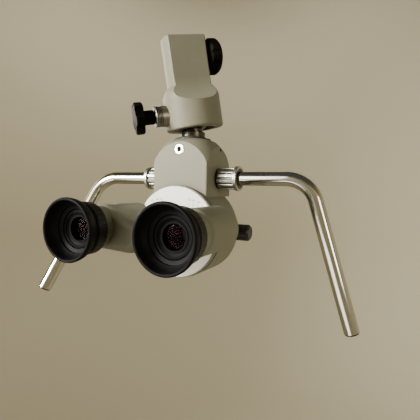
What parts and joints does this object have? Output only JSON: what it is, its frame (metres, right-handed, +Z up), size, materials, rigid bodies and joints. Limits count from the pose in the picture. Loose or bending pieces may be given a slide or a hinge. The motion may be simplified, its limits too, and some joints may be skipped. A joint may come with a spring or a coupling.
{
  "type": "surgical microscope",
  "caption": "Head of a binocular surgical microscope hanging from a clamped ball joint, with swinging eyepiece tubes, a magnification knob and bent steel handles.",
  "frame": {"origin": "mouth of the socket's bore for the arm's pin", "axes": "+Z up, +X to the user's right, -Y towards the user"},
  "size_m": [0.2507, 0.1343, 0.2125],
  "materials": {
    "grey_paint": "satin warm grey paint",
    "light_disc": "satin off-white",
    "dark_metal": "black anodised",
    "polished_steel": "polished",
    "plain_steel": "turned",
    "brass": "turned",
    "black_plastic": "black moulded",
    "black_washer": "matt black",
    "ring_plastic": "ribbed black",
    "rubber": "soft black",
    "glass": "coated"
  },
  "bodies": {
    "socket": {"socket_housing": "grey_paint", "socket_retaining_ring": "plain_steel", "clamp_bush": "plain_steel"},
    "ball_liner": {"ball_liner": "brass"},
    "clamp_pad": {"clamp_pad": "brass"},
    "clamp_knob": {"clamp_spindle": "plain_steel", "clamp_knob": "black_plastic"},
    "arm_lock_pad": {"arm_lock_pad": "brass"},
    "arm_lock_knob": {"arm_lock_knob": "black_plastic"},
    "stud": {"ball_stud": "plain_steel", "thrust_washer": "black_washer", "spring_washers": "plain_steel", "stud_nut": "plain_steel"},
    "head": {"main_housing": "grey_paint", "pivot_bush": "brass", "front_ring_screw": "polished_steel", "side_grub_screw": "plain_steel", "rear_cover": "grey_paint", "objective_lens": "glass", "objective_ring": "dark_metal", "illumination_prism": "glass", "illuminator_plate": "grey_paint", "illumination_lens": "glass", "light_guide_socket": "dark_metal", "illuminator_screws": "plain_steel", "tube_flange": "grey_paint", "flange_screws": "plain_steel", "light_disc": "light_disc", "tube_lenses": "glass", "changer_bearings": "brass", "handle_boss_left": "plain_steel", "handle_boss_right": "plain_steel"},
    "changer": {"changer_drum": "dark_metal", "changer_lenses": "glass", "changer_knob_left": "black_plastic", "changer_knob_right": "black_plastic"},
    "tube_left": {"tube_housing_left": "grey_paint", "tube_base_left": "dark_metal", "coupling_gear_left": "brass", "prism_set_left": "glass"},
    "ocular_left": {"eyepiece_cell_left": "dark_metal", "eyepiece_lenses_left": "glass"},
    "focus_left": {"focusing_ring_left": "ring_plastic", "eyecup_left": "rubber"},
    "handle_left": {"handle_tube_left": "polished_steel", "handle_plug_left": "polished_steel"},
    "wedge_left": {"handle_wedge_left": "brass"},
    "handle_nut_left": {"handle_nut_left": "polished_steel"},
    "tube_right": {"tube_housing_right": "grey_paint", "tube_base_right": "dark_metal", "coupling_gear_right": "brass", "prism_set_right": "glass"},
    "ocular_right": {"eyepiece_cell_right": "dark_metal", "eyepiece_lenses_right": "glass"},
    "focus_right": {"focusing_ring_right": "ring_plastic", "eyecup_right": "rubber"},
    "handle_right": {"handle_tube_right": "polished_steel", "handle_plug_right": "polished_steel"},
    "wedge_right": {"handle_wedge_right": "brass"},
    "handle_nut_right": {"handle_nut_right": "polished_steel"}
  },
  "joints": [
    {"name": "ball_tilt_side", "type": "hinge", "parent": "socket", "child": "ball_liner", "pos_m": [0.00654, 0.00654, -0.05523], "axis": [-0.7071, 0.7071, 0], "range_deg": [-23.5, 4.5]},
    {"name": "ball_tilt_fore", "type": "hinge", "parent": "ball_liner", "child": "stud", "pos_m": [0.00654, 0.00654, -0.05523], "axis": [0.7071, 0.7071, 0], "range_deg": [-14, 14]},
    {"name": "head_swivel", "type": "hinge", "parent": "stud", "child": "head", "pos_m": [0.00654, 0.00654, -0.05523], "axis": [0, 0, 1], "continuous": true},
    {"name": "clamp_pad_slide", "type": "slide", "parent": "socket", "child": "clamp_pad", "axis": [-0.6974, -0.6974, -0.165], "range_m": [0, 0.0012]},
    {"name": "clamp_knob_turn", "type": "hinge", "parent": "clamp_pad", "child": "clamp_knob", "pos_m": [0.00654, 0.00654, -0.05523], "axis": [-0.6974, -0.6974, -0.165], "range_deg": [0, 280]},
    {"name": "arm_lock_slide", "type": "slide", "parent": "socket", "child": "arm_lock_pad", "axis": [0.6974, 0.6974, 0.165], "range_m": [0, 0.0012]},
    {"name": "arm_lock_turn", "type": "hinge", "parent": "arm_lock_pad", "child": "arm_lock_knob", "pos_m": [0.00163, 0.00163, -0.01381], "axis": [0.6974, 0.6974, 0.165], "range_deg": [0, 280]},
    {"name": "magnification_turn", "type": "hinge", "parent": "head", "child": "changer", "pos_m": [0.00654, 0.00654, -0.14473], "axis": [1, 0, 0], "continuous": true},
    {"name": "tube_swing_left", "type": "hinge", "parent": "head", "child": "tube_left", "pos_m": [-0.00496, -0.01846, -0.14473], "axis": [0, -1, 0], "range_deg": [-35, 12.6]},
    {"name": "ocular_slide_left", "type": "slide", "parent": "tube_left", "child": "ocular_left", "axis": [0, -1, 0], "range_m": [-0.0015, 0.0015]},
    {"name": "focus_turn_left", "type": "hinge", "parent": "ocular_left", "child": "focus_left", "pos_m": [-0.02829, -0.01846, -0.13952], "axis": [0, -1, 0], "range_deg": [-181, 181]},
    {"name": "handle_swing_left", "type": "hinge", "parent": "head", "child": "handle_left", "pos_m": [0.00654, 0.00654, -0.10523], "axis": [1, 0, 0], "continuous": true},
    {"name": "wedge_slide_left", "type": "slide", "parent": "head", "child": "wedge_left", "axis": [-1, 0, 0], "range_m": [0, 0.0008]},
    {"name": "handle_nut_turn_left", "type": "hinge", "parent": "wedge_left", "child": "handle_nut_left", "pos_m": [-0.02346, 0.00654, -0.10523], "axis": [-1, 0, 0], "range_deg": [0, 280]},
    {"name": "tube_swing_right", "type": "hinge", "parent": "head", "child": "tube_right", "pos_m": [0.01804, -0.01846, -0.14473], "axis": [0, -1, 0], "range_deg": [-12.6, 35]},
    {"name": "ocular_slide_right", "type": "slide", "parent": "tube_right", "child": "ocular_right", "axis": [0, -1, 0], "range_m": [-0.0015, 0.0015]},
    {"name": "focus_turn_right", "type": "hinge", "parent": "ocular_right", "child": "focus_right", "pos_m": [0.04136, -0.01846, -0.13952], "axis": [0, -1, 0], "range_deg": [-181, 181]},
    {"name": "handle_swing_right", "type": "hinge", "parent": "head", "child": "handle_right", "pos_m": [0.00654, 0.00654, -0.10523], "axis": [1, 0, 0], "continuous": true},
    {"name": "wedge_slide_right", "type": "slide", "parent": "head", "child": "wedge_right", "axis": [1, 0, 0], "range_m": [0, 0.0008]},
    {"name": "handle_nut_turn_right", "type": "hinge", "parent": "wedge_right", "child": "handle_nut_right", "pos_m": [0.03654, 0.00654, -0.10523], "axis": [1, 0, 0], "range_deg": [0, 280]}
  ],
  "couplings": [
    {"joint": "clamp_pad_slide", "follows": "clamp_knob_turn", "m_per_rad": 0.00023873},
    {"joint": "arm_lock_slide", "follows": "arm_lock_turn", "m_per_rad": 0.00023873},
    {"joint": "focus_turn_left", "follows": "ocular_slide_left", "rad_per_m": 2094.4},
    {"joint": "wedge_slide_left", "follows": "handle_nut_turn_left", "m_per_rad": 0.00015915},
    {"joint": "focus_turn_right", "follows": "ocular_slide_right", "rad_per_m": 2094.4},
    {"joint": "wedge_slide_right", "follows": "handle_nut_turn_right", "m_per_rad": 0.00015915},
    {"joint": "tube_swing_left", "follows": "tube_swing_right", "ratio": -1}
  ]
}
